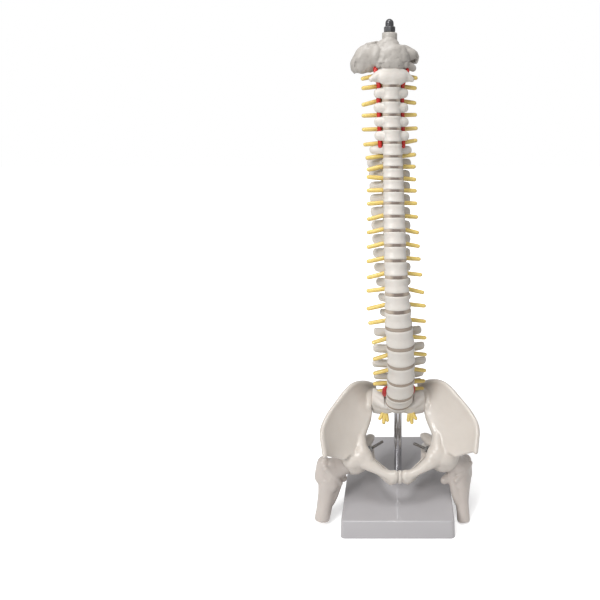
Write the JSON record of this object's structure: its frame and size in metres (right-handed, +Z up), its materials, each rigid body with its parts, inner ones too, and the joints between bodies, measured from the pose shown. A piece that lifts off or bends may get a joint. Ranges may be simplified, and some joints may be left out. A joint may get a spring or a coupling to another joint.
{
  "type": "spine anatomy model",
  "caption": "Half life size spine on a steel core with skull base piece, spinal nerves, neck arteries, pelvis and thigh bone stumps, standing on a moulded base.",
  "frame": {"origin": "centre of the underside of the base", "axes": "+Z up along the rod, -Y is the front of the spine, +X is the model's own left side"},
  "size_m": [0.1568, 0.1424, 0.4489],
  "materials": {
    "bone": "satin ivory plastic",
    "pelvis": "glossy ivory plastic",
    "disc": "matt brown soft plastic",
    "base": "glossy grey plastic",
    "nerve": "yellow soft plastic",
    "artery": "red soft plastic",
    "steel": "plated steel",
    "dark_nut": "dark domed nut"
  },
  "bodies": {
    "model": {"vertebra_L5": "bone", "vertebra_L4": "bone", "vertebra_L3": "bone", "vertebra_L2": "bone", "vertebra_L1": "bone", "vertebra_T12": "bone", "vertebra_T11": "bone", "vertebra_T10": "bone", "vertebra_T9": "bone", "vertebra_T8": "bone", "vertebra_T7": "bone", "vertebra_T6": "bone", "vertebra_T5": "bone", "vertebra_T4": "bone", "vertebra_T3": "bone", "vertebra_T2": "bone", "vertebra_T1": "bone", "vertebra_C7": "bone", "vertebra_C6": "bone", "vertebra_C5": "bone", "vertebra_C4": "bone", "vertebra_C3": "bone", "axis_C2": "bone", "atlas_C1": "bone", "disc_L5_S1": "disc", "disc_L4_L5": "disc", "disc_L3_L4": "disc", "disc_L2_L3": "disc", "disc_L1_L2": "disc", "disc_T12_L1": "disc", "disc_T11_T12": "disc", "disc_T10_T11": "disc", "disc_T9_T10": "disc", "disc_T8_T9": "disc", "disc_T7_T8": "disc", "disc_T6_T7": "disc", "disc_T5_T6": "disc", "disc_T4_T5": "disc", "disc_T3_T4": "disc", "disc_T2_T3": "disc", "disc_T1_T2": "disc", "base": "base", "stand_rod": "steel", "core_wire": "steel", "spinal_cord_nerves": "nerve", "occipital_bone": "bone", "top_collar": "bone", "cap_nut": "dark_nut", "sacrum": "bone", "pubic_symphysis": "pelvis", "vertebral_artery_right": "artery", "hip_bone_right": "pelvis", "vertebral_artery_left": "artery", "hip_bone_left": "pelvis"},
    "thigh_right": {"femur_right": "pelvis", "hip_stud_right": "steel", "hip_nut_right": "steel"},
    "thigh_left": {"femur_left": "pelvis", "hip_stud_left": "steel", "hip_nut_left": "steel"}
  },
  "joints": [
    {"name": "hip_right_turn", "type": "hinge", "parent": "model", "child": "thigh_right", "pos_m": [-0.04374, -0.02994, 0.0585], "axis": [0.8012, 0.5652, 0.1966], "range_deg": [-20, 20]},
    {"name": "hip_left_turn", "type": "hinge", "parent": "model", "child": "thigh_left", "pos_m": [0.04618, -0.02601, 0.0585], "axis": [-0.8381, 0.5407, 0.0721], "range_deg": [-4, 4]}
  ]
}
